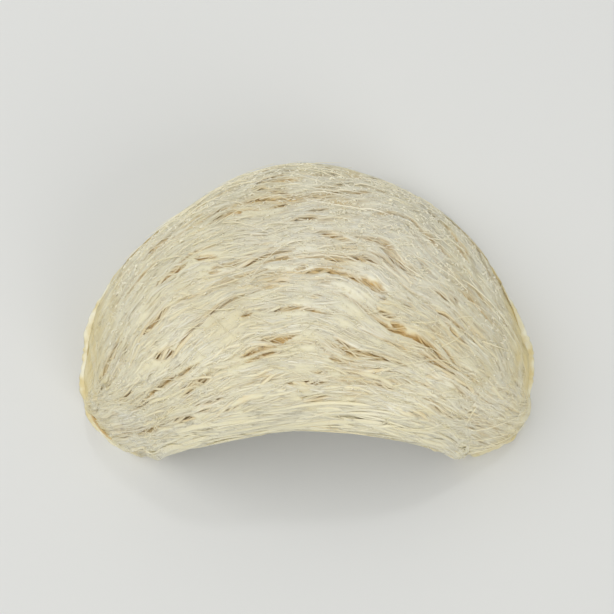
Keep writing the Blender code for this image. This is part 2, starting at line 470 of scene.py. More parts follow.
def slit_table():
    """The slits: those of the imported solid, narrower and shorter, and then small ones at random places.

    A row is the middle and half the length along, the strand and half the width across, and the slope. The
    widths shrink towards the wall, where the same share of the way across is longer.
    """
    first, last = SLIT_ROWS
    k = np.arange(SLIT_COUNT)
    middle = SLITS_FROM_FOOT + (1 - 2 * SLITS_FROM_FOOT) * ((k * GOLDEN_RATIO) % 1.0)
    strand = first + (last - first) * (k + 0.5) / SLIT_COUNT
    half = SLIT_LENGTH * (SHORTEST_SLIT + (1 - SHORTEST_SLIT) * np.sin(LENGTH_TURN * k) ** 2)
    width = 0.0065 + 0.0050 * np.sin(2.3 * k) ** 2
    rng = np.random.default_rng(41)
    large = np.stack([middle, half * 0.40, strand, width, rng.normal(0, 0.12, SLIT_COUNT)], axis=1)
    small = np.stack([rng.uniform(low, high, SMALL_SLITS) for low, high in SMALL_SLIT_RANGES]
                     + [rng.normal(0, 0.35, SMALL_SLITS)], axis=1)
    table = np.concatenate([large, small])
    table[:, 3] *= 1 - 0.42 * np.clip(table[:, 2], 0.0, 1.0)
    return table


def open_slits(share, strand):
    """Fields over the outside: how deep the slits are, 0 to 1, how far they push a strand, and the painted
    golden light round them.

    A slit is a long sloping ellipse whose middle line and width both waver, deeper where it is wider. Its
    push is as large as its half width at its edge and dies away beside and beyond it. The golden light
    painted round it is an ellipse twice as wide.
    """
    shape, share, strand = share.shape, share.ravel(), strand.ravel()
    deep, push, painted_glow = np.zeros_like(share), np.zeros_like(share), np.zeros_like(share)
    for k, (middle, half, row, width, slope) in enumerate(slit_table()):
        near = np.flatnonzero((np.abs(share - middle) < half) & (np.abs(strand - row) < 9 * width))
        place = share[near]
        wide = width * (1.0 + 0.45 * noise(31, place * 90.0, 5.1 * k))
        waver = 0.9 * width * noise(32, place * 60.0, 7.3 * k)
        off = strand[near] - row - slope * (place - middle) - waver
        inside = 1.0 - ((place - middle) / half) ** 2
        depth = min(1.0, 0.40 + width / 0.016)
        deep[near] = np.maximum(deep[near], depth * np.clip(1.6 * (inside - (off / wide) ** 2), 0.0, 1.0))
        painted_glow[near] = np.maximum(painted_glow[near], np.clip(inside - (off / (2.0 * wide)) ** 2, 0.0, 1.0))
        push[near] += np.tanh(off / (0.35 * wide)) * wide * inside * np.exp(-np.abs(off) / (2.2 * wide))
    return deep.reshape(shape), push.reshape(shape), painted_glow.reshape(shape)


def ribbon_relief(share, strand):
    """Rounded ribbons with sharp valleys between them, 0 to 1: the root of the size of long smooth noise.

    Broad, middling and narrow ribbons are added up, the narrow ones weaker and shorter.
    """
    return sum(weight * np.sqrt(np.abs(noise(seed, share * along + start, strand * across)))
               for seed, weight, along, start, across in RIBBONS)


def ridge_relief(share, strand):
    """Fine ridges of fused strands, 0 to 1, about one strand apart and drawn out along them."""
    return np.abs(noise(13, share * 20.0, strand * 80.0)) ** 0.6


def foot_fade(along):
    """0 at the feet, where the strands are drowned in one mass, and 1 over the rest of the cup."""
    return smooth_step(np.sin(along), 0.10, 0.50)


def slit_fade(along):
    """0 towards the feet, where the strands lie too close for slits, and 1 over the rest of the cup."""
    return smooth_step(np.sin(along), 0.26, 0.80)


def outside_height(along, strand, settings):
    """Height of the fused ribbons over the skin, without the fine ridges, sunk so that their tops reach it.

    Less than half of it is left on the feet.
    """
    ribbons = (ribbon_relief(along / math.pi, strand) - 0.75) * settings.ribbon_height
    return ribbons * (0.40 + 0.60 * foot_fade(along))


def foot_swell(skin, points, row):
    """How far the clear gum of the feet stands over the skin: a thin coat with lumps of two sizes.

    It is nothing away from the feet, and dies away again at their tips.
    """
    x, y = points[..., 0] / (4.5 * MM), (points[..., 1] + 0.8 * points[..., 2]) / (4 * MM)
    lumps = 0.40 * MM * noise(51, x, y) + 0.16 * MM * noise(52, 2.7 * x, 2.7 * y)
    return foot_share(skin, points) * (0.12 * MM + lumps) * tip_fade(row)


def tip_fade(row):
    """0 at the two foot tips, where the skin's rows shrink to nothing, and 1 a little way from them."""
    return smooth_step(np.minimum(row, ROWS - 1 - row), 1.0, 12.0)


def across_length(skin, row, across):
    """Metres for one unit of the way across, from the columns that a small step passes and their length."""
    step = 0.01
    columns = skin.column(row, across + step) - skin.column(row, across - step)
    return np.abs(columns) / (2 * step) * skin.at(row, skin.column(row, across), skin.column_length)


def add_mesh_object(name, points, faces, smooth=True):
    """A mesh object from points and a list of face arrays, each with one number of corners."""
    mesh = bpy.data.meshes.new(name)
    mesh.vertices.add(len(points))
    mesh.vertices.foreach_set("co", np.asarray(points, np.float32).ravel())
    corners = np.concatenate([block.ravel() for block in faces]).astype(np.int32)
    counts = np.concatenate([np.full(len(block), block.shape[1]) for block in faces])
    mesh.loops.add(len(corners))
    mesh.loops.foreach_set("vertex_index", corners)
    mesh.polygons.add(len(counts))
    starts = np.concatenate([[0], np.cumsum(counts)[:-1]]).astype(np.int32)
    mesh.polygons.foreach_set("loop_start", starts)
    if smooth:
        mesh.polygons.foreach_set("use_smooth", np.ones(len(counts), bool))
    mesh.update(calc_edges=True)
    mesh.validate()
    piece = bpy.data.objects.new(name, mesh)
    bpy.context.scene.collection.objects.link(piece)
    return piece


def add_values(piece, name, values):
    """A number for each point, for the materials to read."""
    attribute = piece.data.attributes.new(name, "FLOAT", "POINT")
    attribute.data.foreach_set("value", np.asarray(values, np.float32).ravel())


def grid_faces(rows, columns, count=1):
    """Quads of equal grids that are closed round their columns, and the fans that close both their ends.

    Each grid's points lie row by row, with the tips of its two fans last.
    """
    row, column = np.meshgrid(np.arange(rows - 1), np.arange(columns), indexing="ij")
    following = (column + 1) % columns
    low, high = row * columns, (row + 1) * columns
    quads = np.stack([low + column, low + following, high + following, high + column], axis=-1)
    ring = np.arange(columns)
    after, last = (ring + 1) % columns, (rows - 1) * columns
    tip = np.full(columns, rows * columns)
    fans = np.concatenate([np.stack([tip, after, ring], axis=-1),
                           np.stack([tip + 1, last + ring, last + after], axis=-1)])
    offset = (np.arange(count) * (rows * columns + 2))[:, None, None]
    return [(quads.reshape(1, -1, 4) + offset).reshape(-1, 4), (fans[None] + offset).reshape(-1, 3)]


def add_tubes(name, centres, ups, half_width, flatness, sides, material, gold_tone_and_painted_shade=0.0, foot=0.0, tint=1.0,
              milk=0.0):
    """Many tapered tubes in one mesh: an oval carried along each path and closed to a point at both ends.

    Each ring is the path's point plus the cosine times the sideways vector and the sine times the up
    vector, which is shorter by the flatness. The last four are what the material reads, for each ring.
    """
    count, rings = half_width.shape
    forward = unit(np.gradient(centres, axis=1))
    aside = unit(np.cross(forward, ups))
    up = np.cross(aside, forward)
    turn = math.pi / 2 + 2 * math.pi * np.arange(sides) / sides
    half_height = half_width * flatness
    ring = (centres[:, :, None]
            + aside[:, :, None] * (half_width[..., None] * np.cos(turn))[..., None]
            + up[:, :, None] * (half_height[..., None] * np.sin(turn))[..., None])
    tips = np.stack([centres[:, 0] - forward[:, 0] * half_width[:, :1],
                     centres[:, -1] + forward[:, -1] * half_width[:, -1:]], axis=1)
    points = np.concatenate([ring.reshape(count, rings * sides, 3), tips], axis=1).reshape(-1, 3)
    points[:, 2] = np.maximum(points[:, 2], 0.0)
    piece = add_mesh_object(name, points, grid_faces(rings, sides, count))
    piece.data.set_sharp_from_angle(angle=SHARP_ANGLE)
    for key, value in {"gold_tone_and_painted_shade": gold_tone_and_painted_shade, "foot": foot, "tint": tint, "milk": milk}.items():
        spread = np.repeat(np.broadcast_to(value, (count, rings))[:, :, None], sides, axis=2)
        # Painted shade: each strand's underside is coloured golden
        if key == "gold_tone_and_painted_shade":
            spread = np.clip(spread + PAINTED_SHADE_BELOW * (1 - np.sin(turn)) / 2, 0.0, 1.0)
        whole = np.concatenate([spread.reshape(count, -1), spread[:, 0, :1], spread[:, -1, :1]], axis=1)
        add_values(piece, key, whole)
    dress(piece, material)


def dress(piece, material):
    """Gives a finished piece its material and the body that it rides on."""
    piece.data.materials.append(material)
    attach(piece, "root")


def lay(skin, rows, columns, height):
    """Points at a height over the skin, along its normals, and those normals."""
    normals = unit(skin.at(rows, columns, skin.normals))
    return skin.at(rows, columns) + normals * height[..., None], normals


def tapered(way, power, tip):
    """Share of a strand's width on its way from -0.5 to 0.5: full for most of it, and tip at its ends."""
    return np.sqrt(np.clip(1.0 - np.abs(2 * way) ** power, 0.0, 1.0)) * (1 - tip) + tip


def linear(hex_colour):
    """A screen colour such as #E9E2C6 as linear red, green, blue and 1."""
    channels = np.array([int(hex_colour[i:i + 2], 16) for i in (1, 3, 5)]) / 255
    bent = np.where(channels <= 0.04045, channels / 12.92, ((channels + 0.055) / 1.055) ** 2.4)
    return (*bent.tolist(), 1.0)


def add_node(tree, kind, values=None, links=None, **settings):
    """Adds a node, sets its own settings and its inputs' values, and links its inputs to other outputs."""
    made = tree.nodes.new(kind)
    for name, value in settings.items():
        setattr(made, name, value)
    for socket, value in (values or {}).items():
        made.inputs[socket].default_value = value
    for socket, source in (links or {}).items():
        tree.links.new(source, made.inputs[socket])
    return made


def new_material(name, values, bumps, bump_distance):
    """A material of dried gum: its shader's own values, and bumps of that size that stand up that far.

    The place on the object comes back with it, for the other patterns to read.
    """
    material = bpy.data.materials.new(name)
    material.use_nodes = True
    tree = material.node_tree
    shader = tree.nodes["Principled BSDF"]
    for socket, value in {"IOR": GUM_IOR, "Subsurface Radius": GUM_RADIUS, **values}.items():
        shader.inputs[socket].default_value = value
    place = add_node(tree, "ShaderNodeTexCoord").outputs["Object"]
    grain = add_node(tree, "ShaderNodeTexNoise", {"Scale": 1 / bumps, "Detail": 2.0}, {"Vector": place})
    bump = add_node(tree, "ShaderNodeBump", {"Strength": 0.5, "Distance": bump_distance},
                    {"Height": grain.outputs["Fac"]})
    tree.links.new(bump.outputs["Normal"], shader.inputs["Normal"])
    return material, tree, shader, place


def dried_saliva(name, colours, roughness, bump_distance, clear=0.2 * MM):
    """Dried swiftlet saliva: a glassy protein gum drawn out in threads that set against each other.

    Thin threads look cream because light scatters between them. Where they are fused thick they turn
    a clear tan. The golden light and the shade in the gaps between them are painted in as colour.
    """
    # Threads finer than the modelled ones, 0.1 mm thick in life, are drawn at 0.3 mm so that they show
    values = {"Subsurface Weight": 0.5, "Subsurface Scale": clear,
              "Coat Weight": 0.15, "Coat Roughness": 0.25}
    material, tree, shader, place = new_material(name, values, 0.3 * MM, bump_distance)
    gold_tone_and_painted_shade, foot, tint, milk = (
        add_node(tree, "ShaderNodeAttribute", attribute_name=key).outputs["Fac"]
        for key in ("gold_tone_and_painted_shade", "foot", "tint", "milk"))
    # Patches with more air in them are about 9 mm across
    patches = add_node(tree, "ShaderNodeTexNoise", {"Scale": 1 / (9 * MM), "Detail": 3.0, "Roughness": 0.6},
                       {"Vector": place})
    patch_sum = add_node(tree, "ShaderNodeMath", {}, {0: patches.outputs["Fac"], 1: milk})
    airy = add_node(tree, "ShaderNodeMapRange", {"From Min": 0.50, "From Max": 1.10},
                    {"Value": patch_sum.outputs["Value"]})
    mixed = add_node(tree, "ShaderNodeMix", {6: linear(colours.cream), 7: linear(colours.milk)},
                     {0: airy.outputs["Result"]}, data_type="RGBA")
    for share, paint in ((foot, colours.tan), (gold_tone_and_painted_shade, colours.gold_tone_and_painted_shade)):
        mixed = add_node(tree, "ShaderNodeMix", {7: linear(paint)}, {0: share, 6: mixed.outputs[2]},
                         data_type="RGBA")
    shade = add_node(tree, "ShaderNodeHueSaturation", {}, {"Value": tint, "Color": mixed.outputs[2]})
    tree.links.new(shade.outputs["Color"], shader.inputs["Base Color"])
    # Smears of gum that set glossy are about 2 mm across
    smears = add_node(tree, "ShaderNodeTexNoise", {"Scale": 1 / (2 * MM), "Detail": 2.0}, {"Vector": place})
    gloss = add_node(tree, "ShaderNodeMapRange",
                     {"From Min": 0.35, "From Max": 0.65,
                      "To Min": roughness - 0.12, "To Max": roughness + 0.12},
                     {"Value": smears.outputs["Fac"]})
    tree.links.new(gloss.outputs["Result"], shader.inputs["Roughness"])
    return material


def clear_gum(name, colours):
    """Dried saliva run out thin on the wall: clear gum with little air in it, pale over a pale ground.

    It has a soft gloss, clouds about 2.5 mm across, and ripples 0.8 mm apart from where it shrank.
    """
    values = {"Roughness": 0.32, "Subsurface Weight": 0.3, "Subsurface Scale": 0.4 * MM}
    material, tree, shader, place = new_material(name, values, 0.8 * MM, 0.10 * MM)
    clouds = add_node(tree, "ShaderNodeTexNoise", {"Scale": 1 / (2.5 * MM), "Detail": 3.0},
                      {"Vector": place})
    share = add_node(tree, "ShaderNodeMapRange", {"From Min": 0.35, "From Max": 0.65},
                     {"Value": clouds.outputs["Fac"]})
    mixed = add_node(tree, "ShaderNodeMix", {6: linear(colours.milk), 7: linear(colours.tan)},
                     {0: share.outputs["Result"]}, data_type="RGBA")
    tree.links.new(mixed.outputs[2], shader.inputs["Base Color"])
    return material


def foot_share(skin, points):
    """How much a point belongs to the feet: 0 over the cup, 1 at its two ends and along their base."""
    off = np.abs(points[..., 0] - (NEST_BOX[0][0] + NEST_BOX[1][0]) / 2) / skin.half
    ends = smooth_step(off, 0.80, 0.99)
    base = smooth_step(-points[..., 2], -4.5 * MM, -0.5 * MM) * smooth_step(off, 0.45, 0.65)
    return np.maximum(ends, 0.9 * base * smooth_step(-points[..., 1], 0.0, 8 * MM))


def tan_share(foot, points):
    """How tan the gum is: strong on the feet in mottles about 2 mm across, weak elsewhere in wider ones."""
    x, y = points[..., 0] / MM, (points[..., 1] + 0.9 * points[..., 2]) / MM
    feet = foot * (0.60 + 0.55 * noise(55, x / 2.2, y / 2.0))
    elsewhere = 0.45 * np.clip(noise(56, x / 4.5, y / 3.0), 0.0, 1.0)
    return np.clip(feet + elsewhere, 0.0, 1.0)


def milk_share(points):
    """How airy and white the strands are: a round bell over a spot behind the crown, to the right."""
    off = np.linalg.norm((points[..., :2] - MILK_SPOT) / MILK_SIZE, axis=-1)
    return np.exp(-off ** 2)


def random_places(rng, skin, count, rows, columns):
    """Places spread evenly over a stretch of the skin: more of them where a grid cell is larger.

    They come as one row and one column number for each, in arrays that are one wide.
    """
    row = rng.uniform(*rows, count * 8)
    column = rng.uniform(*columns, count * 8)
    area = skin.at(row, column, skin.row_length * skin.column_length)
    kept = rng.random(count * 8) * np.quantile(area, 0.97) < area
    return row[kept][:count, None], column[kept][:count, None]


def outside_strands(name, count, seed, rings, lift, spread, lengths, bridging, skin, settings, material):
    """Strands along the outside: straight runs in the strands' own coordinates, parted round the slits.

    Each sways a little, dives into the body at both ends, and keeps its own small weave up and down. Of
    those that a slit would still catch, only the bridging share is left, and lies low in it. One that the
    slits have bent into a zigzag is left out.
    """
    rng = np.random.default_rng(seed)
    row, column = random_places(rng, skin, 2 * count, (2, ROWS - 3), (1, LIP - 1))
    kept = (column < LIP - 6) | ~skin.open[row.astype(int)]
    row, column = row[kept][:count, None], column[kept][:count, None]
    each = row.shape
    across = skin.across(row, column)
    scale = across_length(skin, row, across)
    length = rng.uniform(*lengths, each) * rng.uniform(0.5, 1.0, each)
    way = np.linspace(-0.5, 0.5, rings)[None, :]
    rows = row + way * (length / skin.at(row, column, skin.row_length))
    # Both ends stay a few rows from the foot tips
    end = rng.uniform(1.5, 10.0, each)
    rows = rows + np.maximum(end - rows[:, :1], 0.0)
    rows = rows - np.maximum(rows[:, -1:] - (ROWS - 1 - end), 0.0)
    rows = np.clip(rows, 0.5, ROWS - 1.5)
    # Most run nearly straight, and some cross the others
    slant = np.where(rng.random(each) < 0.70, rng.normal(0, 0.05, each), rng.normal(0, 0.18, each))
    sway = np.where(rng.random(each) < 0.6, 0.25 * MM, 0.60 * MM) * rng.normal(0, 1, each)
    waves = way * rng.uniform(0.6, 2.6, each) + rng.random(each)
    aside = slant * length * way + sway * np.sin(2 * math.pi * waves)
    strands = straighten(skin.angle(row), across) + aside / scale
    angles = skin.angle(rows)
    fade = slit_fade(angles)
    strands = strands + rng.uniform(0.80, 1.30, each) * open_slits(angles / math.pi, strands)[1] * fade
    caught, _, painted_glow = open_slits(angles / math.pi, strands)
    caught, painted_glow = caught * fade, painted_glow * fade
    bent = np.abs(np.diff(strands, axis=1)).max(axis=1, keepdims=True) * scale * (rings - 1) / length
    free = (caught.max(axis=1, keepdims=True) < CAUGHT) | (rng.random(each) < bridging)
    free = (free & (bent < STEEPEST))[:, 0]
    rows, strands, angles, caught, painted_glow, length = (
        part[free] for part in (rows, strands, angles, caught, painted_glow, length))
    each = length.shape
    columns = skin.column(rows, stray(angles, strands))
    own = lift + spread * rng.uniform(-1.0, 1.0, each)
    weave = 0.07 * MM * np.sin(2 * math.pi * (way * length / (8 * MM) + rng.random(each)))
    height = outside_height(angles, strands, settings) + own + weave - 0.45 * MM * np.abs(2 * way) ** 4
    height = height - (1.05 - 0.45 * bridging) * settings.slit_depth * caught
    height = height - 0.5 * MM * smooth_step(columns, LIP - 2, LIP + WRAP)
    base = skin.at(rows, columns)
    foot = foot_share(skin, base)
    swell = foot_swell(skin, base, rows) - 0.08 * MM * foot
    centres, normals = lay(skin, rows, columns, height + swell)
    width = settings.strand_width / 2 * rng.lognormal(-0.05, 0.42, each)
    beads = 1.0 + 0.16 * noise(seed + 7, np.arange(len(rows))[:, None] * 1.7, way * length / (1.6 * MM))
    # Painted shade: strands that lie deep, caught in a slit or beside one are coloured golden; a few more are
    # golden at random as their own tone
    gold_tone_and_painted_shade = np.maximum(smooth_step(-height, 0.35 * MM, 1.3 * MM), np.maximum(0.9 * caught, 0.50 * painted_glow))
    gold_tone_and_painted_shade = np.clip(gold_tone_and_painted_shade + 0.15 * rng.random(each) ** 4, 0.0, 1.0)
    # Some strands are whiter at random, partly as their own tone and partly as painted highlights
    white = 0.55 * rng.random(each) ** 3
    tint = 1.0 + 0.035 * rng.normal(0, 1, each)
    add_tubes(name, centres, normals, width * tapered(way, 3, 0.15) * beads, 0.32, 3, material, gold_tone_and_painted_shade=gold_tone_and_painted_shade,
              foot=tan_share(foot, centres), tint=tint, milk=milk_share(centres) + white)


def rim_strands(name, seed, skin, settings, material):
    """The hem: thick strands laid side by side along the lip, each slowly going over or under it."""
    rng = np.random.default_rng(seed)
    each = (settings.rim_count, 1)
    way = np.linspace(-0.5, 0.5, 16)[None, :]
    first, last = np.flatnonzero(skin.open)[[0, -1]] + (3, -3)
    rows = np.clip(rng.uniform(first, last, each) + way * rng.uniform(24, 80, each), first, last)
    place = rng.uniform(-20.0, 6.0, each)
    wander = rng.normal(0, 4.0, each) * way
    columns = LIP + place + wander + 1.2 * np.sin(9.0 * way + rng.uniform(0, 6, each))
    height = -0.06 * MM + 0.16 * MM * rng.uniform(-1, 1, each) - 0.5 * MM * np.abs(2 * way) ** 5
    height = height - 0.35 * MM * smooth_step(-place, 5.0, 20.0)
    foot = foot_share(skin, skin.at(rows, columns))
    centres, normals = lay(skin, rows, columns, height - 0.5 * MM * foot)
    width = 0.65 * settings.strand_width * rng.lognormal(0.0, 0.38, each)
    tint = 1.0 + 0.035 * rng.normal(0, 1, each)
    add_tubes(name, centres, normals, width * tapered(way, 4, 0.15), 0.50, 4, material, foot=foot,
              tint=tint, milk=milk_share(centres))


def curls(name, seed, skin, settings, material):
    """Short bent ends of dried gum: each runs round part of a small circle, sunk at both its ends.

    They lie over the whole outside but for the slits, and most of them in the airy part. They are drawn
    whiter than the strands round them, partly as airy gum and partly as painted highlights.
    """
    rng = np.random.default_rng(seed)
    count = settings.curl_count
    row, column = random_places(rng, skin, 4 * count, (30, ROWS - 31), (4, OUTER + 20))
    kept = rng.random(row.shape) < 0.28 + 0.72 * milk_share(skin.at(row, column))
    row, column = row[kept][:count, None], column[kept][:count, None]
    each = row.shape
    way = np.linspace(0.0, 1.0, 6)[None, :]
    radius = rng.uniform(0.12 * MM, 0.50 * MM, each)
    turn = rng.uniform(0, 2 * math.pi, each) + way * rng.uniform(1.5, 4.5, each)
    rows = row + radius * np.cos(turn) / skin.at(row, column, skin.row_length)
    columns = column + 0.6 * radius * np.sin(turn) / skin.at(row, column, skin.column_length)
    columns = np.clip(columns, 1.0, OUTER + 24.0)
    angles = skin.angle(rows)
    strand = straighten(angles, skin.across(rows, columns))
    clear = (open_slits(angles / math.pi, strand)[0] * slit_fade(angles)).max(axis=1) < 0.3
    rows, columns, angles, strand = (part[clear] for part in (rows, columns, angles, strand))
    each = (len(rows), 1)
    height = -0.20 * MM + rng.uniform(0.15 * MM, 0.40 * MM, each) * np.sin(math.pi * way)
    height = height + outside_height(angles, strand, settings)
    centres, normals = lay(skin, rows, columns, height)
    width = 0.19 * settings.strand_width * rng.lognormal(0.0, 0.3, each)
    half_width = width * (1.0 - 0.5 * np.abs(2 * way - 1) ** 3)
    # Painted highlights: every curl is drawn whiter than the strands round it, so that it reads as a bright
    # speck as well as an airy end
    add_tubes(name, centres, normals, half_width, 1.0, 3, material, tint=1.06, milk=1.0)


def net_strands(name, seed, skin, settings, material):
    """The loose net inside: strands that cross the hollow's roof in every direction, each arched off it."""
    rng = np.random.default_rng(seed)
    first, last = np.flatnonzero(skin.open)[[0, -1]] + (1, -1)
    start, end = LIP + 5, LIP + INNER - 2
    row, column = random_places(rng, skin, settings.net_count, (first, last), (start, end))
    each = row.shape
    length = rng.uniform(6 * MM, 20 * MM, each)
    heading = rng.uniform(0, math.pi, each)
    way = np.linspace(-0.5, 0.5, 11)[None, :]
    arc = 1 - 4 * way ** 2
    ahead = way * length
    aside = rng.normal(0, 0.10, each) * length * arc + 0.3 * MM * np.sin(9.0 * way + rng.uniform(0, 6, each))
    east = ahead * np.cos(heading) - aside * np.sin(heading)
    north = ahead * np.sin(heading) + aside * np.cos(heading)
    rows = np.clip(row + east / skin.at(row, column, skin.row_length), first, last)
    columns = np.clip(column + north / skin.at(row, column, skin.column_length), start, end)
    arch = rng.uniform(0.1 * MM, 1.1 * MM, each) * arc
    height = -0.25 * MM + rng.uniform(0, 0.5 * MM, each) + arch
    centres, normals = lay(skin, rows, columns, height)
    centres[..., 2] = np.maximum(centres[..., 2], 0.2 * MM)
    width = settings.strand_width / 2 * rng.lognormal(-0.25, 0.35, each)
    tint = 1.0 + 0.05 * rng.normal(0, 1, each)
    # Painted shade: net strands that lie low against the roof are coloured golden
    add_tubes(name, centres, normals, width * tapered(way, 4, 0.2), 0.75, 3, material,
              gold_tone_and_painted_shade=0.5 * smooth_step(-height, -0.6 * MM, 0.4 * MM), tint=tint)


def loose_fibres(name, seed, skin, settings, material):
    """Thin fibres that have come away: they leave the outside at a low slant and end in the air."""
    rng = np.random.default_rng(seed)
    row, column = random_places(rng, skin, settings.loose_count, (45, ROWS - 46), (4, LIP))
    each = row.shape
    length = rng.uniform(3 * MM, 10 * MM, each)
    slant = rng.normal(0, 0.22, each)
    side = np.where(rng.random(each) < 0.5, -1.0, 1.0)
    way = np.linspace(0.0, 1.0, 9)[None, :]
    rows = row + side * way * (length * np.cos(slant) / skin.at(row, column, skin.row_length))
    bend = slant * way + rng.normal(0, 0.35, each) * way ** 2
    columns = column + bend * (length / skin.at(row, column, skin.column_length))
    rows, columns = np.clip(rows, 1.0, ROWS - 2.0), np.clip(columns, 1.0, LIP - 6.0)
    rise = rng.uniform(0.05 * MM, 0.75 * MM, each) * way ** 1.6
    centres, normals = lay(skin, rows, columns, -0.35 * MM + 0.3 * MM * np.minimum(1.0, 4 * way) + rise)
    width = 0.20 * settings.strand_width * rng.lognormal(0.0, 0.25, each)
    add_tubes(name, centres, normals, width * (1.0 - 0.7 * way), 1.0, 3, material, tint=1.03,
              milk=milk_share(centres))


def foot_skirt(name, seed, side, skin, material):
    """The skirt round one foot: a thin closed profile carried along the foot's outline on the wall.

    The outline comes from the back of the cup round the foot's tip to its front corner. The profile is
    flat below, starts inside the foot, and thins out to a rounded edge. Its width wavers along the way.
    """
    reach, steps = 40, 240
    rows = np.arange(reach, -1, -1) if side < 0 else np.arange(ROWS - 1 - reach, ROWS)
    raw = np.concatenate([skin.points[rows, 0, :2], skin.points[rows[::-1], LIP, :2]])
    travelled = np.concatenate([[0.0], np.cumsum(np.linalg.norm(np.diff(raw, axis=0), axis=1))])
    even = np.linspace(0.0, travelled[-1], steps)
    line = np.stack([np.interp(even, travelled, raw[:, k]) for k in (0, 1)], axis=1)
    line = blur(line, 6.0, 0, False)
    ahead = unit(np.gradient(line, axis=0))
    out = np.stack([ahead[:, 1], -ahead[:, 0]], axis=1) * -side
    share = np.linspace(0.0, 1.0, steps)
    taper = np.sqrt(np.clip(np.sin(math.pi * share), 0.0, 1.0))
    ragged = sum(height * noise(seed, share * waves, start) for height, waves, start in SKIRT_WAVES)
    width = np.maximum(taper * (SKIRT_WIDTH + ragged), 0.1 * MM)[:, None]
    turn = np.linspace(0.0, math.pi, 9)[None, :]
    start = -2.0 * MM * taper[:, None] - 0.05 * MM
    beyond = start + (width - start) * np.sin(turn / 2) ** 1.2
    uneven = SKIRT_THICK + 0.2 * MM * noise(seed, share * 30.0, 7.5)
    thick = taper[:, None] * uneven[:, None] + 0.05 * MM
    top = thick * np.cos(turn / 2) ** 0.8
    flat = line[:, None] + out[:, None] * beyond[..., None]
    upper = np.concatenate([flat, top[..., None]], axis=-1)
    lower = upper[:, ::-1].copy()
    lower[..., 2] = 0.0
    ring = np.concatenate([upper, lower[:, 1:]], axis=1)[::-side]
    tips = np.stack([ring[0].mean(axis=0), ring[-1].mean(axis=0)])
    points = np.concatenate([ring.reshape(-1, 3), tips])
    dress(add_mesh_object(name, points, grid_faces(steps, ring.shape[1])), material)


def fused_body(skin, settings, material):
    """The skin pushed in and out along its normals by its ribbons, ridges, slits, lining and feet.

    The outside's relief dies away where the strands turn into the hollow, and its pitted lining begins.
    """
    row, column = np.meshgrid(np.arange(ROWS, dtype=float), np.arange(COLUMNS, dtype=float), indexing="ij")
    along = skin.angle(row)
    strand = straighten(along, skin.across(row, np.minimum(column, LIP)))
    fade = np.where(skin.open, 20.0, 3.0)[:, None]
    outside = smooth_step(column, -0.5, 1.5) * smooth_step((LIP - column) / fade, 0.0, 1.0)
    slits, _, painted_glow = open_slits(along / math.pi, strand)
    slits, painted_glow = slits * slit_fade(along), painted_glow * slit_fade(along)
    height = outside_height(along, strand, settings)
    height += (ridge_relief(along / math.pi, strand) - 0.94) * settings.ridge_height
    height -= slits * settings.slit_depth
    lining = smooth_step(column, LIP - 4, LIP + 10) * smooth_step(-column, -(LIP + INNER), -(LIP + INNER - 8))
    lining = lining * blur(skin.open.astype(float), 3.0, 0, False)[:, None]
    pits = (np.abs(noise(21, row / 7.0, column / 5.0)) - 0.5) * 0.9 * MM
    total = (height * outside + (pits - 0.35 * MM) * lining) * tip_fade(row)
    total = total + foot_swell(skin, skin.points, row) * outside
    points = skin.points + skin.normals * total[..., None]
    points[..., 2] = np.maximum(points[..., 2], 0.0)
    tips = np.stack([points[0].mean(axis=0), points[-1].mean(axis=0)])
    body = add_mesh_object("fused_body", np.concatenate([points.reshape(-1, 3), tips]),
                           grid_faces(ROWS, COLUMNS))
    # Painted shade: the body is coloured golden in its valleys, on the slits' floors, round the slits and
    # over the hollow's lining
    painted_valley_shade = 0.04 + 0.40 * smooth_step(-height, 0.35 * MM, 1.4 * MM)
    gold_tone_and_painted_shade = np.maximum(smooth_step(slits, 0.05, 0.6), painted_valley_shade + 0.3 * painted_glow)
    gold_tone_and_painted_shade = np.maximum(gold_tone_and_painted_shade * outside, 0.5 * lining)
    foot = foot_share(skin, skin.points)
    fields = {"gold_tone_and_painted_shade": gold_tone_and_painted_shade * (1 - 0.5 * foot), "foot": tan_share(foot, skin.points),
              "tint": np.ones_like(gold_tone_and_painted_shade), "milk": milk_share(skin.points)}
    for name, field in fields.items():
        add_values(body, name, np.concatenate([field.ravel(), field[0, :1], field[-1, :1]]))
    dress(body, material)
    return body


class NEST_OT_body(bpy.types.Operator):
    """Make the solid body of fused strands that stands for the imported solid"""

    bl_idname = "nest.body"
    bl_label = "Fused body"

    def execute(self, context):
        scene = context.scene
        material = dried_saliva("fused_dried_saliva", scene.nest_colours, 0.42, 0.20 * MM, clear=1.2 * MM)
        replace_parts(fused_body(Skin(scene.nest_sizes), scene.nest_strands, material), "nest")
        return {"FINISHED"}


class NEST_OT_outside(bpy.types.Operator):
    """Make the layers of strands that run along the outside from foot to foot"""

    bl_idname = "nest.outside"
    bl_label = "Outside strands"

    def execute(self, context):
        scene = context.scene
        skin = Skin(scene.nest_sizes)
        settings = scene.nest_strands
        material = dried_saliva("drawn_dried_saliva", scene.nest_colours, 0.38, 0.08 * MM)
        for name, *layer in LAYERS:
            count = settings.under_count if name == "under_strands" else settings.top_count // 3
            outside_strands(name, count, *layer, skin, settings, material)
        return {"FINISHED"}


class NEST_OT_rim(bpy.types.Operator):
    """Make the thicker strands that bind the rolled rim from foot to foot"""

    bl_idname = "nest.rim"
    bl_label = "Rim strands"

    def execute(self, context):
        scene = context.scene
        material = dried_saliva("rim_dried_saliva", scene.nest_colours, 0.36, 0.08 * MM)
        rim_strands("rim_strands", 104, Skin(scene.nest_sizes), scene.nest_strands, material)
        return {"FINISHED"}


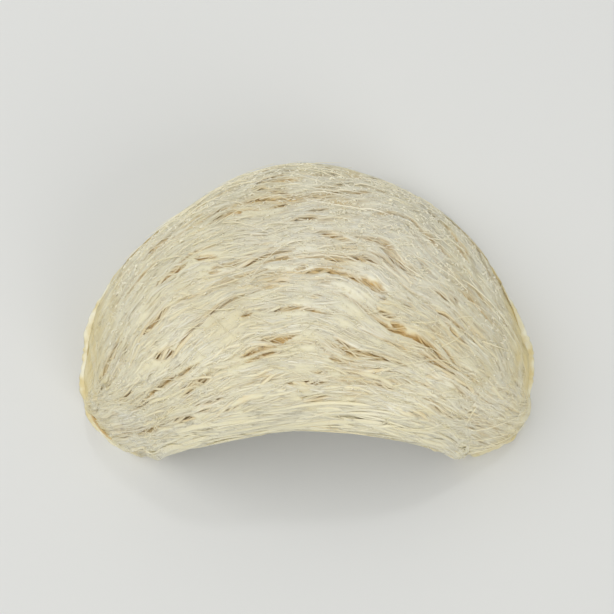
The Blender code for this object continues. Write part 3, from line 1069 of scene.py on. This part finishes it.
class NEST_OT_net(bpy.types.Operator):
    """Make the loose net of crossing strands that lines the hollow"""

    bl_idname = "nest.net"
    bl_label = "Net inside"

    def execute(self, context):
        scene = context.scene
        material = dried_saliva("netted_dried_saliva", scene.nest_colours, 0.38, 0.06 * MM)
        net_strands("inner_net", 105, Skin(scene.nest_sizes), scene.nest_strands, material)
        return {"FINISHED"}


class NEST_OT_loose(bpy.types.Operator):
    """Make the thin fibres that stand off the outside, and its short curls"""

    bl_idname = "nest.loose"
    bl_label = "Loose fibres"

    def execute(self, context):
        scene = context.scene
        skin = Skin(scene.nest_sizes)
        thin = dried_saliva("loose_dried_saliva", scene.nest_colours, 0.30, 0.04 * MM)
        loose_fibres("loose_fibres", 106, skin, scene.nest_strands, thin)
        # Painted highlights: the curls made with this gum are drawn whiter, as well as glossier
        painted_highlight_gum = dried_saliva("airy_dried_saliva_and_painted_highlights", scene.nest_colours, 0.20, 0.03 * MM)
        curls("airy_curls_and_painted_highlights", 108, skin, scene.nest_strands, painted_highlight_gum)
        return {"FINISHED"}


class NEST_OT_skirts(bpy.types.Operator):
    """Make the thin clear skirt of gum with which each foot ran out over the wall"""

    bl_idname = "nest.skirts"
    bl_label = "Foot skirts"

    def execute(self, context):
        scene = context.scene
        skin = Skin(scene.nest_sizes)
        material = clear_gum("clear_gum", scene.nest_colours)
        foot_skirt("left_foot_skirt", 61, -1, skin, material)
        foot_skirt("right_foot_skirt", 62, 1, skin, material)
        return {"FINISHED"}


class NEST_OT_stage(bpy.types.Operator):
    """Make the plain floor, the soft studio lights and the camera at the picture's viewing angle"""

    bl_idname = "nest.stage"
    bl_label = "Stage"

    def execute(self, context):
        scene = context.scene
        add_floor(scene.nest_colours)
        add_lights(scene)
        add_camera(scene)
        return {"FINISHED"}


def add_floor(colours):
    """A plain pale floor, a flat grid of 2 by 2 squares that reaches far past the picture."""
    side = 8.0
    across = np.linspace(-side / 2, side / 2, 3)
    x, y = np.meshgrid(across, across, indexing="ij")
    points = np.stack([x, y, np.full_like(x, -0.02 * MM)], axis=-1).reshape(-1, 3)
    corner = np.array([0, 1, 3, 4])
    quads = np.stack([corner, corner + 3, corner + 4, corner + 1], axis=-1)
    floor = add_mesh_object("floor", points, [quads], smooth=False)
    material = bpy.data.materials.new("matt_floor_paint")
    material.use_nodes = True
    shader = material.node_tree.nodes["Principled BSDF"]
    shader.inputs["Base Color"].default_value = linear(colours.floor)
    shader.inputs["Roughness"].default_value = 0.9
    floor.data.materials.append(material)


def add_area_light(name, place, size, power, colour, aim):
    """A square softbox at a place, turned towards the aim."""
    light = bpy.data.lights.new(name, "AREA")
    light.size = size
    light.energy = power
    light.color = linear(colour)[:3]
    lamp = bpy.data.objects.new(name, light)
    lamp.location = place
    lamp.rotation_euler = (Vector(aim) - Vector(place)).to_track_quat("-Z", "Y").to_euler()
    bpy.context.scene.collection.objects.link(lamp)


def add_lights(scene):
    """A large softbox above to the left, a small lamp for sparks, a weak fill in front, a pale surround."""
    world = bpy.data.worlds.new("surround")
    scene.world = world
    world.use_nodes = True
    background = world.node_tree.nodes["Background"]
    background.inputs["Color"].default_value = linear("#F4F3EF")
    background.inputs["Strength"].default_value = 0.64
    for light in LIGHTS:
        add_area_light(*light, aim=(0.0, 0.0, 0.01))
    scene.view_settings.view_transform = "Standard"


def add_camera(scene):
    """Looks down at the picture's angle, with the nest filling about three quarters of the width."""
    elevation = math.radians(CAMERA_ELEVATION)
    aim = Vector((NEST_BOX[0] + NEST_BOX[1]) / 2)
    aim += Vector((0.0, -1 * MM, 10 * MM - aim.z))
    camera = bpy.data.cameras.new("camera")
    camera.sensor_width = 36.0
    camera.lens = camera.sensor_width / (2 * math.tan(math.radians(CAMERA_ANGLE) / 2))
    camera.clip_start, camera.clip_end = 0.01, 10.0
    viewer = bpy.data.objects.new("camera", camera)
    back = Vector((0.0, -math.cos(elevation), math.sin(elevation)))
    viewer.location = aim + back * CAMERA_DISTANCE
    viewer.rotation_euler = (-back).to_track_quat("-Z", "Y").to_euler()
    scene.collection.objects.link(viewer)
    scene.camera = viewer


class NEST_PT_panel(bpy.types.Panel):
    """The nest's sizes, strands and colours, and the steps that make it"""

    bl_idname = "NEST_PT_panel"
    bl_label = "Swiftlet nest"
    bl_space_type = "VIEW_3D"
    bl_region_type = "UI"
    bl_category = "Nest"

    def draw(self, context):
        scene = context.scene
        for group in (scene.nest_sizes, scene.nest_strands, scene.nest_colours):
            box = self.layout.box()
            for name in group.__annotations__:
                box.prop(group, name)
        for step in STEPS:
            self.layout.operator(step.bl_idname)


STEPS = (NEST_OT_body, NEST_OT_outside, NEST_OT_rim, NEST_OT_net, NEST_OT_loose, NEST_OT_skirts,
         NEST_OT_stage)
GROUPS = {"nest_sizes": NestSizes, "nest_strands": NestStrands, "nest_colours": NestColours}


def register():
    for group in GROUPS.values():
        bpy.utils.register_class(group)
    for name, group in GROUPS.items():
        setattr(bpy.types.Scene, name, bpy.props.PointerProperty(type=group))
    for step in (*STEPS, NEST_PT_panel):
        bpy.utils.register_class(step)


def unregister():
    for step in (NEST_PT_panel, *reversed(STEPS)):
        bpy.utils.unregister_class(step)
    for name, group in reversed(list(GROUPS.items())):
        delattr(bpy.types.Scene, name)
        bpy.utils.unregister_class(group)


def main():
    """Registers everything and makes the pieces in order."""
    register()
    for step in STEPS:
        name = step.bl_idname.split(".")[1]
        getattr(bpy.ops.nest, name)()
    bpy.context.view_layer.update()


if __name__ == "__main__":
    main()
